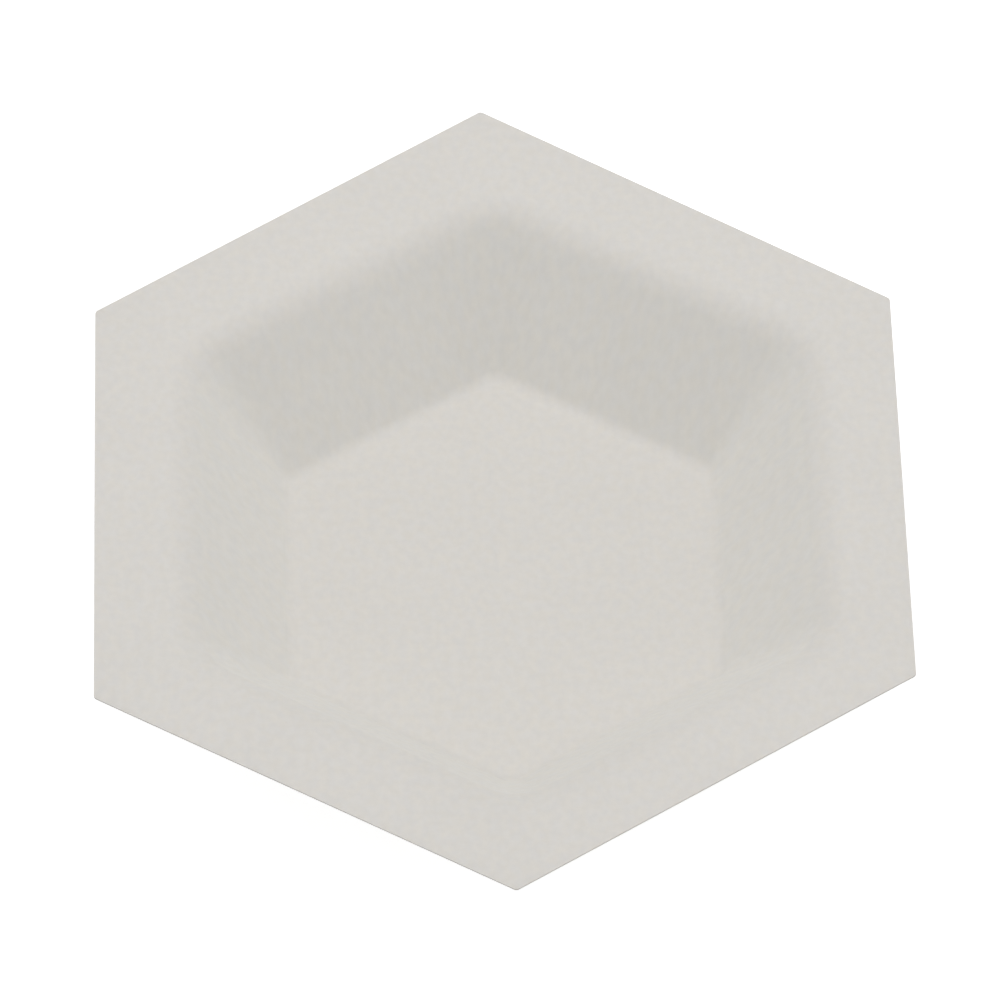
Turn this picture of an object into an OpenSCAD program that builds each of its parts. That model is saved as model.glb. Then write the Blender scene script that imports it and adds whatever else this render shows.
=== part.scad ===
// Hexagonal weighing boat.
// One thin polystyrene sheet is drawn down into a six-sided dish, and a hexagonal
// die then cuts it free around a wide flat rim. Millimetres, +Z up. The boat stands
// on z = 0 with its axis on the origin and two of the rim's corners on the Y axis.

/* [Rim] */
// Width of the whole boat across two opposite sides of the rim
rim_flats = 102; // [85:0.5:130]
// Radius that the cutting die leaves on the rim's six corners
rim_corner_r = 0.6; // [0.3:0.1:8]

/* [Dish] */
// Width of the mouth between two opposite walls, at the height of the rim
mouth_flats = 80; // [65:0.5:95]
// Width of the floor between two opposite walls
floor_flats = 54.5; // [40:0.5:68]
// Height of the boat, from the table to the top of the rim
height = 18.3; // [12:0.1:24]

/* [Sheet] */
// Thickness of the rim, where the sheet isn't drawn
rim_gauge = 0.3; // [0.2:0.01:0.6]
// Thickness of the walls, which take up nearly all of the stretch
wall_gauge = 0.2; // [0.15:0.01:0.6]
// Thickness of the floor, which cools on the mould before it can stretch
floor_gauge = 0.28; // [0.15:0.01:0.6]

/* [Rounds] */
// Radius of the lip, where the rim turns down into the walls
lip_r = 6.5; // [2:0.1:8]
// Radius at the foot of the walls, where they turn into the floor
foot_r = 2.2; // [0.5:0.1:4]
// Radius of the six creases between the walls, at their lower end
crease_foot_r = 3.6; // [1:0.1:10]
// Radius of the six creases between the walls, at their upper end
crease_lip_r = 5.9; // [1:0.1:12]

/* [Hidden] */

// Corners of the boat, and the turn from one side to the next
sides = 6;
side_turn = 360 / sides;
// Flat steps that make up each round
crease_steps = 8;
foot_steps = 5;
lip_steps = 10;
// Web of sheet left around the die, and how far the die stands clear above and below
web = 3;
die_clearance = 1;
// Smallest radius that a crease narrows to as it runs out into the floor
crease_min_r = 0.3;

// Slope of the walls from the level, and how far each round reaches from the corner it fills
wall_slope = atan2(height - floor_gauge, (mouth_flats - floor_flats) / 2);
foot_reach = foot_r * tan(wall_slope / 2);
lip_reach = lip_r * tan(wall_slope / 2);
// Half width of the sheet before the die cuts it, past the rim and past the lip
blank_apothem = max(rim_flats / 2, mouth_flats / 2 + lip_reach) + web;

// The upper face of the sheet, from the floor out to the edge of the blank. Each station
// is [distance from the axis to a side, height, slope, crease radius, thickness].
foot_stations = [
    for (i = [0:foot_steps])
        let (slope = wall_slope * i / foot_steps)
        [
            floor_flats / 2 - foot_reach + foot_r * sin(slope),
            floor_gauge + foot_r * (1 - cos(slope)),
            slope,
            max(crease_min_r, crease_foot_r - foot_r * (sin(wall_slope) - sin(slope))),
            floor_gauge + (wall_gauge - floor_gauge) * i / foot_steps
        ]
];
lip_stations = [
    for (i = [0:lip_steps])
        let (slope = wall_slope * (1 - i / lip_steps))
        [
            mouth_flats / 2 + lip_reach - lip_r * sin(slope),
            height - lip_r * (1 - cos(slope)),
            slope,
            crease_lip_r + lip_r * (sin(wall_slope) - sin(slope)),
            wall_gauge + (rim_gauge - wall_gauge) * i / lip_steps
        ]
];
blank_station = [blank_apothem, height, 0, rim_corner_r, rim_gauge];
upper_stations = concat(foot_stations, lip_stations, [blank_station]);

// The lower face runs square to the upper one, as far off as the sheet is thick there
function lower_station(s) = [
    s[0] + s[4] * sin(s[2]),
    s[1] - s[4] * cos(s[2]),
    s[2],
    s[3] + s[4] * sin(s[2]),
    s[4]
];

// A level outline at one station: a hexagon whose corners are rounded to the crease radius
function outline(s) = [
    for (k = [0:sides - 1], i = [0:crease_steps])
        let (
            centre = (s[0] - s[3]) / cos(side_turn / 2),
            corner = side_turn * (k + 0.5),
            around = side_turn * (k + i / crease_steps)
        )
        [
            centre * cos(corner) + s[3] * cos(around),
            centre * sin(corner) + s[3] * sin(around),
            s[1]
        ]
];

// The skin that closes over a list of outlines, with a flat cap on the first and the last
module loft(outlines) {
    count = len(outlines[0]);
    last = (len(outlines) - 1) * count;
    polyhedron(
        points = [for (ring = outlines) each ring],
        faces = concat(
            [[for (i = [count - 1:-1:0]) i]],
            [
                for (row = [0:count:last - 1], i = [0:count - 1])
                    let (next = (i + 1) % count)
                    [row + i, row + next, row + count + next, row + count + i]
            ],
            [[for (i = [0:count - 1]) last + i]]
        )
    );
}

// The sheet as it leaves the mould: up the upper face to the blank's edge, and back below
module formed_sheet() {
    upper = [for (s = upper_stations) outline(s)];
    lower = [for (s = upper_stations) outline(lower_station(s))];
    loft(concat(upper, [for (i = [len(lower) - 1:-1:0]) lower[i]]));
}

// The outline that the die cuts: true arcs on the corners, straight sides between them
module rim_outline() {
    centre = (rim_flats / 2 - rim_corner_r) / cos(side_turn / 2);
    corners = [
        for (k = [0:sides - 1])
            centre * [cos(side_turn * (k + 0.5)), sin(side_turn * (k + 0.5))]
    ];
    polygon([
        for (k = [0:sides - 1], side = [k, k + 1])
            corners[k] + rim_corner_r * [cos(side_turn * side), sin(side_turn * side)]
    ]);
    for (corner = corners)
        translate(corner)
            circle(rim_corner_r, $fn = 48);
}

module weighing_boat() {
    color([0.84, 0.825, 0.805])
        intersection() {
            formed_sheet();
            translate([0, 0, -die_clearance])
                linear_extrude(height + 2 * die_clearance)
                    rim_outline();
        }
}

weighing_boat();
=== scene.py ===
# %% [markdown]
# # A hexagonal weighing boat
#
# A weighing boat is the throwaway dish that powder is weighed in. It is made from one
# sheet of off-white polystyrene: the sheet is heated, drawn down over a six-sided mould
# and cut free by a hexagonal die, all in a second or two. Nothing is fastened to it.
#
# So there is one piece to make here, and what makes it look right is its thinness, the
# soft way in which its faces run into each other, and a satin surface in plain light.
# The solid model has the right size, but it is made of flat facets, and they would show
# in the soft bends. The sheet is therefore drawn again here, finely, from a few sizes.
#
# The lesson loads the solid model as a frame, sets up the camera, draws the sheet,
# gives it its thickness and finish, and lights it. Every length is in metres, so a size
# in millimetres is written as a number times mm.

# %% Load the frame
import math
from collections import namedtuple

import bpy
import numpy as np
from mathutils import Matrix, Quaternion, Vector
from mathutils.bvhtree import BVHTree


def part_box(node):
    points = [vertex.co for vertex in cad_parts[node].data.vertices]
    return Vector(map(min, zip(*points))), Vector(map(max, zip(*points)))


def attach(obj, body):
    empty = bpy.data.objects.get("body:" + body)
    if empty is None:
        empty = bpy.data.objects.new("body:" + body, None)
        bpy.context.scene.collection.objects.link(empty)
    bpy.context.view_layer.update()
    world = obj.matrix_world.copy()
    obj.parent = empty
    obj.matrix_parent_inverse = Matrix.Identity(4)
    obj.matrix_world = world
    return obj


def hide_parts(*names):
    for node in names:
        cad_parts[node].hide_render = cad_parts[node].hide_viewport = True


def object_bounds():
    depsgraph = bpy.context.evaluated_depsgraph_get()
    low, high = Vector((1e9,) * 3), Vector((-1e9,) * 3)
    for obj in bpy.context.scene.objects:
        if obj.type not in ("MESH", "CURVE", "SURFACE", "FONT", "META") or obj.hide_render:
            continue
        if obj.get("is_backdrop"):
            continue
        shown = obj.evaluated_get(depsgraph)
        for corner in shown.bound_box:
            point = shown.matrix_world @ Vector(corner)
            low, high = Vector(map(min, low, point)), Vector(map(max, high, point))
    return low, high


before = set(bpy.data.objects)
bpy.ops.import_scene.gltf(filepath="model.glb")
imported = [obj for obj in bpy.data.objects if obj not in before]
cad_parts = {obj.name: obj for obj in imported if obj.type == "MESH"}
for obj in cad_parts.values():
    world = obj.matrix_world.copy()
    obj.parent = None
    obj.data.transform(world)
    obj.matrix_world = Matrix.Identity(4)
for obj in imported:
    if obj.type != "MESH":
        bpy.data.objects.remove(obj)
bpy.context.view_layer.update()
cad_low, cad_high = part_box("weighing_boat")
mm = 0.001


def in_mm(lengths):
    """Lengths in metres as rounded millimetres, to be printed."""
    return [round(float(length) / mm, 2) for length in lengths]


print("CAD boat, mm:", in_mm(cad_high - cad_low))

# %% [markdown]
# ## The camera
#
# A shallow dish is best seen from well above the table: at about 55 degrees the whole
# floor shows, and the two far walls still turn enough of their faces to the camera to
# be read as walls. A long lens from over a metre away keeps opposite sides nearly
# parallel, as in a catalogue picture. The camera could be aimed with a Track To
# constraint, but a direction worked out from two angles is exact and easy to change,
# and a turn about the line of sight is then one more factor.
#
# Blender takes the length of a lens in millimetres, whatever the rest is measured in.

# %% Camera
boat_height = cad_high.z - cad_low.z

lens_length = 339.4
camera_azimuth = math.radians(-2.6)
camera_elevation = math.radians(55.27)
camera_roll = math.radians(0.83)
camera_distance = 1185.4 * mm
aim_point = Vector((0, -1.2 * mm, boat_height))


def direction_from(azimuth, elevation):
    """Unit vector from the boat to a viewer. Azimuth 0 is in front, on the -Y side."""
    level = math.cos(elevation)
    return Vector((level * math.sin(azimuth), -level * math.cos(azimuth), math.sin(elevation)))


def pointing_down(line):
    """The turn that makes a camera or an area lamp look back along this line."""
    return (-line).to_track_quat("-Z", "Y")


view_line = direction_from(camera_azimuth, camera_elevation)
camera = bpy.data.objects.new("camera", bpy.data.cameras.new("camera"))
camera.data.lens = lens_length
camera.location = aim_point + camera_distance * view_line
camera.rotation_mode = "QUATERNION"
camera.rotation_quaternion = pointing_down(view_line) @ Quaternion((0, 0, 1), camera_roll)
bpy.context.scene.collection.objects.link(camera)
bpy.context.scene.camera = camera
print("camera, mm:", in_mm(camera.location))

# %% [markdown]
# ## What the mould sets
#
# The mould gives the dish its form. Its walls are flat, and they slope as the width of
# the mouth, the width of the floor and the depth make them. The widths are measured
# between opposite walls, and the overall height comes from the frame, so that the
# finished piece can't drift away from the solid model.
#
# The boat is the same on all six sides, so its whole form is in one section, from the
# middle of the floor out to the cut edge. The section will be a row of stations. Each
# one says how far the sheet has got from the axis, how high it is, how round the
# corners are there and how thick the sheet is. It could be drawn by eye with a curve,
# but the bends are true arcs, so sines and cosines place them exactly.

# %% Slope of the walls
mouth_flats = 80 * mm
floor_flats = 54.5 * mm
floor_gauge = 0.28 * mm

wall_slope = math.atan2(boat_height - floor_gauge, (mouth_flats - floor_flats) / 2)
print("wall slope, degrees:", round(math.degrees(wall_slope), 1))

# %% [markdown]
# ## The foot of the walls
#
# The foot is pulled hard into the mould, so the floor turns up into the walls in a
# tight bend. The creases between the walls are tight here too, and they close up even
# more as they run out into the floor. Along the bend the sheet also thins: the floor
# cools on the mould before it can stretch, and the walls take up nearly all of the
# stretch.
#
# A sharp corner rounded by a Bevel modifier would give the bend alone. It couldn't
# close the creases or thin the sheet on the way.

# %% Stations of the foot
Station = namedtuple("Station", "reach height corner gauge")

foot_radius = 2.2 * mm
crease_radius_at_foot = 2.4 * mm
wall_gauge = 0.2 * mm
foot_steps = 10
foot_reach = foot_radius * math.tan(wall_slope / 2)


def foot_station(share):
    """A station of the bend at the foot. Share runs from 0 on the floor to 1 on the wall."""
    slope = share * wall_slope
    tightening = foot_radius * (math.sin(wall_slope) - math.sin(slope))
    return Station(
        floor_flats / 2 - foot_reach + foot_radius * math.sin(slope),
        floor_gauge + foot_radius * (1 - math.cos(slope)),
        crease_radius_at_foot - tightening,
        floor_gauge + share * (wall_gauge - floor_gauge),
    )


foot = [foot_station(step / foot_steps) for step in range(foot_steps + 1)]
print("foot rises from and to, mm:", in_mm([foot[0].height, foot[-1].height]))

# %% [markdown]
# ## The lip
#
# The sheet hangs freely over the edge of the mould, so the walls turn over into the rim
# in a wide bend. The creases open up as they run over it, until they fade into the
# level rim. The rim isn't stretched, and the sheet comes back to its full gauge there.
#
# It is the same kind of arc as the foot, bent the other way. One function with a sign
# for the way could make both, but two plain ones are easier to follow.

# %% Stations of the lip
lip_radius = 6.5 * mm
crease_radius_at_lip = 6.8 * mm
rim_gauge = 0.3 * mm
lip_steps = 16
lip_reach = lip_radius * math.tan(wall_slope / 2)


def lip_station(share):
    """A station of the bend at the lip. Share runs from 0 on the wall to 1 on the rim."""
    slope = (1 - share) * wall_slope
    widening = lip_radius * (math.sin(wall_slope) - math.sin(slope))
    return Station(
        mouth_flats / 2 + lip_reach - lip_radius * math.sin(slope),
        boat_height - lip_radius * (1 - math.cos(slope)),
        crease_radius_at_lip + widening,
        wall_gauge + share * (rim_gauge - wall_gauge),
    )


lip = [lip_station(step / lip_steps) for step in range(lip_steps + 1)]
print("lip rises from and to, mm:", in_mm([lip[0].height, lip[-1].height]))
print("dish depth, mm:", in_mm([lip[-1].height - foot[0].height]))

# %% [markdown]
# ## The walls
#
# Between the two bends the section is straight, so each station of the wall is a mix of
# the two at its ends. Those two would give the form by themselves. The ones between them
# keep the faces from getting long and thin, which would show in the smooth shading.

# %% Stations of the walls
wall_steps = 12


def straight_run(first, last, shares):
    """Stations on the straight stretch between two others, at these shares of its length."""
    return [Station(*(a + share * (b - a) for a, b in zip(first, last))) for share in shares]


even_shares = [step / wall_steps for step in range(1, wall_steps)]
wall = straight_run(foot[-1], lip[0], even_shares)
print("flat of the wall spans, mm:", in_mm([foot[-1].height, lip[0].height]))

# %% [markdown]
# ## Floor and rim
#
# The two level faces need rings of their own. A single large face would do for a flat
# plate, but the shading is smoothed across the edges of a face, and a wide one beside a
# tight bend would smear the bend's light far into the floor. The rings are therefore
# close together beside each bend and wider apart away from it, and squares of even
# shares do that. The overall width of the rim comes from the frame, as the height does.

# %% Stations of the level faces
rim_flats = cad_high.x - cad_low.x
rim_corner_radius = 0.6 * mm
level_steps = 12

middle_of_floor = Station(reach=2 * mm, height=floor_gauge, corner=1 * mm, gauge=floor_gauge)
cut_edge = Station(rim_flats / 2, boat_height, rim_corner_radius, rim_gauge)
crowded_shares = [(step / level_steps) ** 2 for step in range(1, level_steps)]

floor = [middle_of_floor] + straight_run(foot[0], middle_of_floor, crowded_shares)[::-1]
rim = straight_run(lip[-1], cut_edge, crowded_shares) + [cut_edge]
section = floor + foot + wall + lip + rim
print("stations:", len(section))

# %% [markdown]
# ## Small errors of the die
#
# A die for thin sheet is a strip of blade steel, bent by hand and set in a board. Its
# corners stand up to about a millimetre from where a perfect hexagon has them, and it
# doesn't land quite in the middle of the dish. The eye picks this up at once: with all
# six corners exact, the boat looks drawn and not cut. The sides stay straight, because
# the steel is straight between its bends.
#
# Random numbers could place the corners, but a short list can be set to one real die.
# It starts with the corner 30 degrees round from +X and goes on counterclockwise, so
# the second corner is the far one, on +Y.

# %% Where the die and the dish really are
corner_drift = [
    Vector((-0.2, -0.7)) * mm,
    Vector((-0.5, 1.1)) * mm,
    Vector((0.4, 0.0)) * mm,
    Vector((-0.3, -0.1)) * mm,
    Vector((0.1, -0.3)) * mm,
    Vector((-0.2, 0.4)) * mm,
]
dish_drift = Vector((0.6, -0.5)) * mm
print("corners off by, mm:", in_mm(drift.length for drift in corner_drift))

# %% [markdown]
# ## One outline around the boat
#
# At each station the sheet runs once around the axis: an arc at each corner and a
# straight stretch to the next one. Every outline has the same number of points in the
# same order, so neighbouring outlines can be joined point to point into four-sided
# faces that follow the form. One rounded hexagon, scaled to fit each station, would be
# shorter, but that would scale its corners too, and each station has its own.
#
# The die's drift is worked out along with each point: all of the corner's own on its
# arc, and a mix of the two neighbouring corners' on a straight stretch.

# %% Outlines
sides = len(corner_drift)
side_turn = 2 * math.pi / sides
arc_steps = 14
straight_steps = 16


def spoke(angle):
    """Unit vector in plan, at this angle counterclockwise from +X."""
    return Vector((math.cos(angle), math.sin(angle)))


def outline(station):
    """Points and die drifts around the boat at one station, counterclockwise from +X."""
    points = []
    drifts = []
    centre_distance = (station.reach - station.corner) / math.cos(side_turn / 2)
    for side in range(sides):
        here = side_turn * (side + 0.5)
        centre = spoke(here) * centre_distance
        next_centre = spoke(here + side_turn) * centre_distance
        end_of_arc = spoke(side_turn * (side + 1)) * station.corner
        for step in range(arc_steps):
            points.append(centre + spoke(side_turn * (side + step / arc_steps)) * station.corner)
            drifts.append(corner_drift[side])
        for step in range(straight_steps):
            share = step / straight_steps
            points.append(centre.lerp(next_centre, share) + end_of_arc)
            drifts.append(corner_drift[side].lerp(corner_drift[(side + 1) % sides], share))
    return points, drifts


points_around = len(outline(cut_edge)[0])
print("points around each outline:", points_around)

# %% [markdown]
# ## The outline in its place
#
# The whole dish moves by its own drift, and the cut edge moves by the die's. Across the
# level rim the one turns into the other bit by bit. The sheet is flat there, so this
# only slides points about within it and leaves no kink at the lip. The finished dish
# could be moved instead, but then the rim would have to be joined to it again.

# %% Points on the sheet
def on_the_sheet(station):
    """The points of one outline in space, moved by the drift of the dish or of the die."""
    points, drifts = outline(station)
    across_rim = (station.reach - lip[-1].reach) / (cut_edge.reach - lip[-1].reach)
    die_share = max(0.0, across_rim)
    placed = [point + dish_drift.lerp(drift, die_share) for point, drift in zip(points, drifts)]
    return [(point.x, point.y, station.height) for point in placed]


print("first point of the cut edge, mm:", in_mm(on_the_sheet(cut_edge)[0]))

# %% [markdown]
# ## The drawn sheet
#
# The upper face of the sheet is now a stack of outlines, joined by four-sided faces,
# with a fan of triangles round one point in the middle of the floor. A single face of
# many corners would close that gap too, but it is cut into slivers when the mesh is
# exported. Only this one skin is built point by point. The thickness comes from a
# modifier, so the form and the gauge can be changed apart from each other.

# %% Skin of the boat
corners = [corner for station in section for corner in on_the_sheet(station)]
middle = len(corners)
corners.append((dish_drift.x, dish_drift.y, floor_gauge))
faces = [[middle, here, (here + 1) % points_around] for here in range(points_around)]
for ring in range(len(section) - 1):
    inner = ring * points_around
    outer = inner + points_around
    for here in range(points_around):
        following = (here + 1) % points_around
        faces.append([inner + here, outer + here, outer + following, inner + following])

skin = bpy.data.meshes.new("weighing_boat_sheet")
skin.from_pydata(corners, [], faces)
skin.validate()
skin.shade_smooth()
sheet = bpy.data.objects.new("weighing_boat_sheet", skin)
bpy.context.scene.collection.objects.link(sheet)
print("skin:", len(skin.vertices), "points,", len(skin.polygons), "faces")

# %% [markdown]
# ## What each point knows of the sheet
#
# Each point carries its gauge as a vertex weight, as a share of the rim's, and the
# modifier for the thickness will read it. A second value, for the plastic's nodes, is the
# share of painted light in its colour: the walls are painted paler than the rim, to stand
# in for light that they don't get from these lamps. It goes with the cube of the
# thinning: none in the rim, next to none in the floor and all of it in the walls. Both
# could be painted by hand, but the stations know them already.

# %% Gauge and painted light at each point
painted_light_falloff = 3

gauges = np.append(np.repeat([station.gauge for station in section], points_around), floor_gauge)
weight = sheet.vertex_groups.new(name="gauge")
for value in sorted(set(gauges)):
    weight.add(np.flatnonzero(gauges == value).tolist(), float(value / rim_gauge), "REPLACE")

# Painted light: the walls' colour is lightened by this share, the cube of the thinning.
thinning = (rim_gauge - gauges) / (rim_gauge - wall_gauge)
painted_light_share = skin.attributes.new("painted_light_share", "FLOAT", "POINT")
painted_light_share.data.foreach_set("value", (thinning ** painted_light_falloff).astype(np.float32))
print("gauge from and to, mm:", in_mm([min(gauges), max(gauges)]))

# %% [markdown]
# ## Thickness and the cut edge
#
# Solidify grows the skin downwards by its gauge and closes it along the cut. A second
# skin could be built below the first and stitched to it, but the modifier keeps the
# gauge square to the sheet round every bend by itself. The weights thin it from 0.3 mm
# in the rim to 0.2 mm in the walls and 0.28 mm in the floor, whose underside comes to
# rest on the table.
#
# A die leaves the edge nearly square, with its corners only just rolled over: a bevel of
# a few hundredths of a millimetre gives the edge the thin line of light that real cut
# plastic has. Weighted Normal then keeps the flat faces flat in the shading and leaves
# the bends to turn.

# %% Thickness, cut edge and shading
rolled_edge = 0.04 * mm
sharp_from = math.radians(60)

solidify = sheet.modifiers.new("gauge", "SOLIDIFY")
solidify.thickness = rim_gauge
solidify.offset = -1
solidify.vertex_group = "gauge"
solidify.use_even_offset = True

bevel = sheet.modifiers.new("cut edge", "BEVEL")
bevel.width = rolled_edge
bevel.segments = 2
bevel.limit_method = "ANGLE"
bevel.angle_limit = sharp_from

shading = sheet.modifiers.new("flat faces", "WEIGHTED_NORMAL")
shading.mode = "FACE_AREA"
shading.keep_sharp = True

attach(sheet, "root")
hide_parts("weighing_boat")
print("modifiers:", [modifier.name for modifier in sheet.modifiers])

# %% [markdown]
# ## Does it still fit the solid?
#
# The piece stands for the solid model in every picture, so it has to lie where that
# does. Two boxes could be compared, but a tree of the solid's triangles says more: it
# gives the nearest point of the solid for each point of the new sheet. The largest
# distances are along the cut, where the die went wrong. In the dish they come from its
# own drift and from creases that are a little tighter at the foot than the solid's.

# %% Measure it against the solid
depsgraph = bpy.context.evaluated_depsgraph_get()
finished = sheet.evaluated_get(depsgraph).data
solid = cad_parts["weighing_boat"].data
solid_tree = BVHTree.FromPolygons(
    [v.co for v in solid.vertices], [p.vertices for p in solid.polygons]
)
nearest = [solid_tree.find_nearest(v.co) for v in finished.vertices]
gaps = [distance for point, normal, face, distance in nearest]
print("triangles:", sum(len(p.vertices) - 2 for p in finished.polygons))
print("off the solid, mean and most, mm:", in_mm([np.mean(gaps), max(gaps)]))
print("lowest point, mm:", in_mm([min(v.co.z for v in finished.vertices)]))

# %% [markdown]
# ## Polystyrene sheet
#
# The plastic is high-impact polystyrene: an opaque off-white with a little rubber in it,
# extruded as sheet and left satin. Close up it isn't one colour. It has a faint mottle
# of about a millimetre, from the rubber, patches that are a trace warmer or cooler, and
# a wider drift of tone from the extruder.
#
# A picture of plastic could be wrapped around the piece instead, but noise has no seam
# and stays at its real scale. It is laid out in plan, by x and y alone, because the
# mottle is there before the sheet is drawn, and the mould pulls it nearly straight down:
# on the walls it is stretched down the slope, just as the plastic is. All of it is kept
# very weak: seen from an arm's length, it should only just be noticed.
#
# The solid has a plain material of this name already, so Blender adds a number to the
# new one.

# %% Noise for the plastic
plastic = bpy.data.materials.new("polystyrene")
plastic.use_nodes = True
nodes = plastic.node_tree.nodes
links = plastic.node_tree.links
shader = nodes["Principled BSDF"]
place = nodes.new("ShaderNodeTexCoord")

noise_low = 0.3
noise_high = 0.7


def speckle(size, detail):
    """Noise in plan whose patches are about this size in metres, as a value round 0.5."""
    noise = nodes.new("ShaderNodeTexNoise")
    noise.noise_dimensions = "2D"
    noise.inputs["Scale"].default_value = 1 / size
    noise.inputs["Detail"].default_value = detail
    links.new(place.outputs["Object"], noise.inputs["Vector"])
    return noise.outputs["Fac"]


def spread(value, low=0.0, high=1.0):
    """A noise value with its middle stretched over a range."""
    ranged = nodes.new("ShaderNodeMapRange")
    ranged.inputs["From Min"].default_value = noise_low
    ranged.inputs["From Max"].default_value = noise_high
    ranged.inputs["To Min"].default_value = low
    ranged.inputs["To Max"].default_value = high
    links.new(value, ranged.inputs["Value"])
    return ranged.outputs["Result"]


print("material:", plastic.name)

# %% [markdown]
# ## Mottle
#
# The colour is built in layers, and each one only bends the one below it. Two tints
# that differ by up to two parts in a hundred, one warmer and one cooler, are mixed in
# patches. Specks then darken that by up to four parts in a hundred, and clouds by one.
# A single ramp of colours on one noise would be shorter, but then every patch that is
# warm would also be dark, and the eye finds such a rule at once.
#
# A Mix node has sockets of the same names for numbers, vectors and colours, so the
# helper picks each one by its name and its kind.

# %% Colour of the sheet
warm_tint = (0.715, 0.688, 0.642)
cool_tint = (0.705, 0.686, 0.656)
speck_shade = (0.964, 0.964, 0.964)
cloud_shade = (0.99, 0.99, 0.99)
patch_size = 1.5 * mm
speck_size = 1.1 * mm
cloud_size = 14 * mm


def blended(share, first, second, way="MIX"):
    """Two colours mixed by a node's value. Each is three numbers or a node's output."""
    mix = nodes.new("ShaderNodeMix")
    mix.data_type = "RGBA"
    mix.blend_type = way
    links.new(share, next(s for s in mix.inputs if s.name == "Factor" and s.type == "VALUE"))
    for name, colour in (("A", first), ("B", second)):
        socket = next(s for s in mix.inputs if s.name == name and s.type == "RGBA")
        if isinstance(colour, tuple):
            socket.default_value = (*colour, 1)
        else:
            links.new(colour, socket)
    return next(s for s in mix.outputs if s.type == "RGBA")


patches = spread(speckle(patch_size, detail=1))
specks = spread(speckle(speck_size, detail=3))
clouds = spread(speckle(cloud_size, detail=1))

tinted = blended(patches, warm_tint, cool_tint)
mottled = blended(specks, tinted, speck_shade, "MULTIPLY")
clouded = blended(clouds, mottled, cloud_shade, "MULTIPLY")
print("nodes for the mottle:", len(nodes))

# %% [markdown]
# ## Painted light on the walls
#
# The walls are painted paler than their slope alone would make them. This is painted
# light, which stands in for light that the walls don't get from these lamps, and not a
# colour of the plastic. The colour is multiplied by the share of painted light at each
# point: up to a tenth more, and a trace more blue than red.
#
# A model that is used elsewhere keeps this painted light in its colour, so its walls look
# a little paler there too.

# %% Walls painted paler
# Painted light: how much paler the walls are painted, for red, green and blue.
painted_light_gain = (1.086, 1.099, 1.107)

painted_light_node = nodes.new("ShaderNodeAttribute")
painted_light_node.attribute_name = "painted_light_share"
colour_with_painted_light = blended(painted_light_node.outputs["Fac"], clouded, painted_light_gain, "MULTIPLY")
links.new(colour_with_painted_light, shader.inputs["Base Color"])
# Prints the largest painted light, as a share of the colour.
print("most light through, as a share of the colour:", round(max(painted_light_gain) - 1, 3))

# %% [markdown]
# ## Satin
#
# The satin is a middling roughness that wavers a little, and a bump so fine that it is
# felt more than seen. Polystyrene bends light more than most plastics do, with an index
# of 1.59, so even at this roughness it has a soft sheen at a low angle. Light also
# travels a fraction of a millimetre inside it, which softens the bends.
#
# The grain could be pushed out of the mesh itself, but at a third of a millimetre that
# would take millions of faces for something that only the light shows.

# %% Surface of the plastic
smoothest = 0.55
roughest = 0.67
waver_size = 0.9 * mm
refraction_index = 1.59
share_of_light_inside = 0.15
travel_inside = 0.25 * mm
travel_of_red_green_blue = (1.0, 0.95, 0.85)
bump_strength = 0.35
bump_height = 0.006 * mm
bump_size = 0.35 * mm

waver = spread(speckle(waver_size, detail=3), smoothest, roughest)
links.new(waver, shader.inputs["Roughness"])
shader.inputs["IOR"].default_value = refraction_index
shader.inputs["Subsurface Weight"].default_value = share_of_light_inside
shader.inputs["Subsurface Radius"].default_value = travel_of_red_green_blue
shader.inputs["Subsurface Scale"].default_value = travel_inside

bump = nodes.new("ShaderNodeBump")
bump.inputs["Strength"].default_value = bump_strength
bump.inputs["Distance"].default_value = bump_height
links.new(speckle(bump_size, detail=2), bump.inputs["Height"])
links.new(bump.outputs["Normal"], shader.inputs["Normal"])

sheet.data.materials.append(plastic)
print("nodes in all:", len(nodes))

# %% [markdown]
# ## Table
#
# The boat stands on a white table that runs on as far as the camera can see. A curved
# backdrop would hide the far edge of a small table, but one large square does it as
# well and looks the same from all sides. It lies a hair below the boat, because two
# faces in exactly one place come out in patches of the one and the other.

# %% Table
table_half_width = 6.0
table_drop = 0.02 * mm

table_mesh = bpy.data.meshes.new("table")
table_corners = [
    (x * table_half_width, y * table_half_width, cad_low.z - table_drop)
    for x, y in ((-1, -1), (1, -1), (1, 1), (-1, 1))
]
table_mesh.from_pydata(table_corners, [], [(0, 1, 2, 3)])
table = bpy.data.objects.new("table", table_mesh)
bpy.context.scene.collection.objects.link(table)
table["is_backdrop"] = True
print("table is", 2 * table_half_width, "m wide")

# %% [markdown]
# ## White that doesn't light the boat
#
# The sheet is so close in tone to white paper that only a background of pure white sets
# it off. Turning the lamps up until the table clips would burn out the boat as well.
# Instead, the table and the surround behave in one way where they are looked at and in
# another where they light the boat. The Light Path node tells the two kinds of rays
# apart.

# %% Rays that look
def seen_directly(tree):
    """1 for rays from the camera and for mirrored or refracted ones, and 0 for all others."""
    path = tree.nodes.new("ShaderNodeLightPath")
    seen = path.outputs["Is Camera Ray"]
    for name in ("Is Glossy Ray", "Is Transmission Ray"):
        either = tree.nodes.new("ShaderNodeMath")
        either.operation = "MAXIMUM"
        tree.links.new(seen, either.inputs[0])
        tree.links.new(path.outputs[name], either.inputs[1])
        seen = either.outputs["Value"]
    return seen


# %% [markdown]
# ## Paint of the table
#
# Where it is looked at, the table has a white glow of its own on top of the light that
# falls on it: open table reaches white, and the shadow under the boat still shows,
# faintly. For every other ray it is plain pale paint, which sends some light up to the
# underside of the boat.

# %% Paint
table_colour = (0.85, 0.85, 0.85, 1)
seen_colour = (0.5, 0.5, 0.5, 1)
table_glow = 0.80

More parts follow.
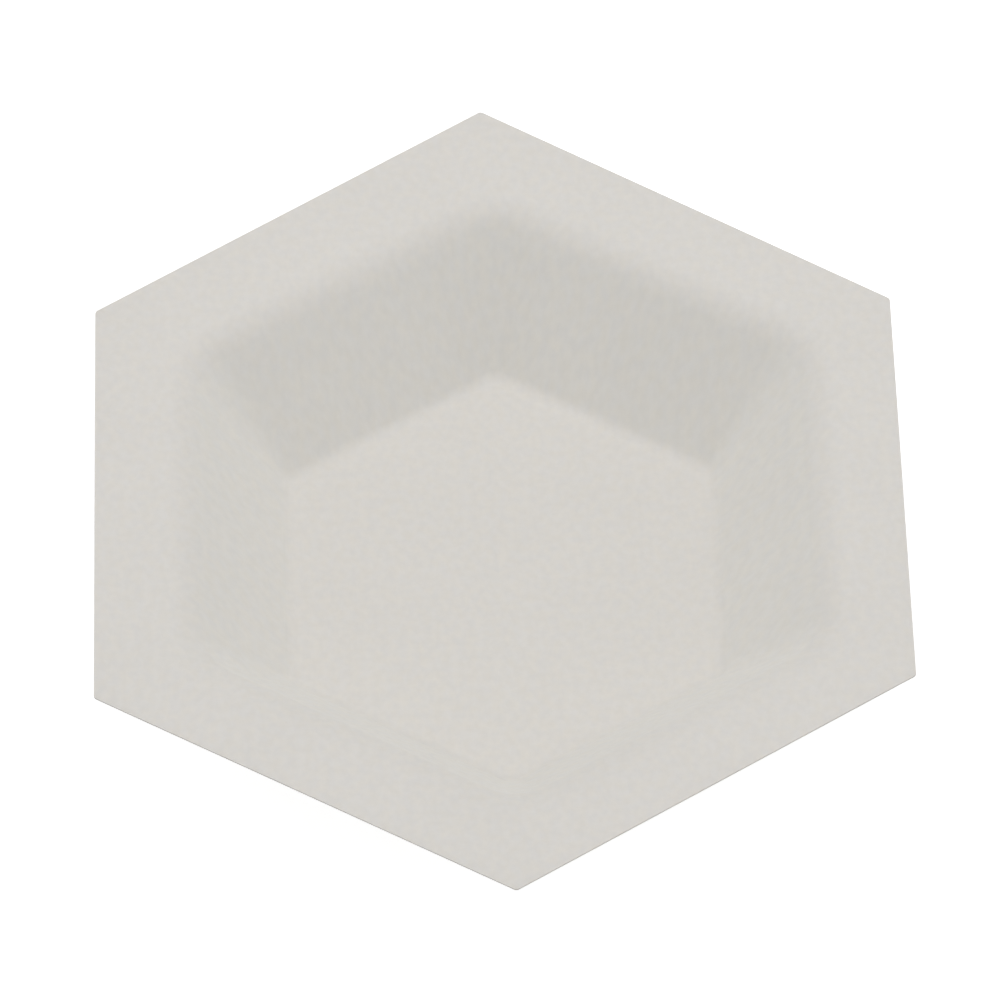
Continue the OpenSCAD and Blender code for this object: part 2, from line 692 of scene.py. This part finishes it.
paint = bpy.data.materials.new("table_white")
paint.use_nodes = True
tree = paint.node_tree
tree.nodes.clear()
matt = tree.nodes.new("ShaderNodeBsdfDiffuse")
matt.inputs["Color"].default_value = table_colour
seen_matt = tree.nodes.new("ShaderNodeBsdfDiffuse")
seen_matt.inputs["Color"].default_value = seen_colour
glow = tree.nodes.new("ShaderNodeEmission")
glow.inputs["Strength"].default_value = table_glow
both = tree.nodes.new("ShaderNodeAddShader")
choice = tree.nodes.new("ShaderNodeMixShader")
output = tree.nodes.new("ShaderNodeOutputMaterial")
tree.links.new(seen_matt.outputs["BSDF"], both.inputs[0])
tree.links.new(glow.outputs["Emission"], both.inputs[1])
tree.links.new(seen_directly(tree), choice.inputs["Fac"])
tree.links.new(matt.outputs["BSDF"], choice.inputs[1])
tree.links.new(both.outputs["Shader"], choice.inputs[2])
tree.links.new(choice.outputs["Shader"], output.inputs["Surface"])
table.data.materials.append(paint)
print("nodes in the paint:", len(tree.nodes))

# %% [markdown]
# ## Surround
#
# A dish this pale is lit almost from everywhere: an even white surround gives every
# wall about half of its light. A tent of large lamps could do that, but the world's
# background does it with less noise and has no corners. Where it is looked at, it is
# as white as the table.

# %% Surround
surround_level = 0.47
white_level = 1.0

world = bpy.data.worlds.new("surround")
bpy.context.scene.world = world
world.use_nodes = True
tree = world.node_tree
background = tree.nodes["Background"]
background.inputs["Color"].default_value = (1, 1, 1, 1)
strength = tree.nodes.new("ShaderNodeMapRange")
strength.inputs["To Min"].default_value = surround_level
strength.inputs["To Max"].default_value = white_level
tree.links.new(seen_directly(tree), strength.inputs["Value"])
tree.links.new(strength.outputs["Result"], background.inputs["Strength"])
print("surround level:", surround_level)

# %% [markdown]
# ## Softboxes
#
# A softbox hangs close overhead, a little behind the boat. It favours the level faces
# over the walls, and the near walls over the far ones, so the dish reads as hollow. Two
# low softboxes lift the side walls from the left and the right, the right one a trace
# more. A small hard lamp would throw the lip's shadow across the floor, which a real
# light tent never does.
#
# Together with the surround they make a plain level, at which a white card on the table
# would come out just white. None of the boxes is seen by the camera, because a box that
# hangs in the background of a low view would look like a part of the scene.

# %% Softboxes
def softbox(name, azimuth, elevation, distance, width, level):
    """A square lamp that shines on the boat from that direction. Level is how bright a
    white card that faces the lamp would be, with no other light."""
    lamp = bpy.data.lights.new(name, "AREA")
    lamp.shape = "SQUARE"
    lamp.size = width
    lamp.energy = level * (math.pi * distance) ** 2
    line = direction_from(math.radians(azimuth), math.radians(elevation))
    box = bpy.data.objects.new(name, lamp)
    box.location = line * distance
    box.rotation_mode = "QUATERNION"
    box.rotation_quaternion = pointing_down(line)
    box.visible_camera = False
    bpy.context.scene.collection.objects.link(box)
    print(name, "softbox, W:", round(lamp.energy, 2))


softbox("overhead", azimuth=180, elevation=80, distance=0.5, width=0.4, level=0.413)
softbox("right", azimuth=90, elevation=35, distance=1.6, width=1.2, level=0.102)
softbox("left", azimuth=270, elevation=35, distance=1.6, width=1.2, level=0.08)

# %% [markdown]
# ## Colour management and the box
#
# The Standard view shows colours as they were written, with no film-like curve over
# them. Last, the box of the finished sheet is printed. It may differ from the solid's
# only by what the die got wrong.

# %% Finish
bpy.context.scene.view_settings.view_transform = "Standard"

visual_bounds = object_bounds()
print("visual, mm:", [in_mm(corner) for corner in visual_bounds])
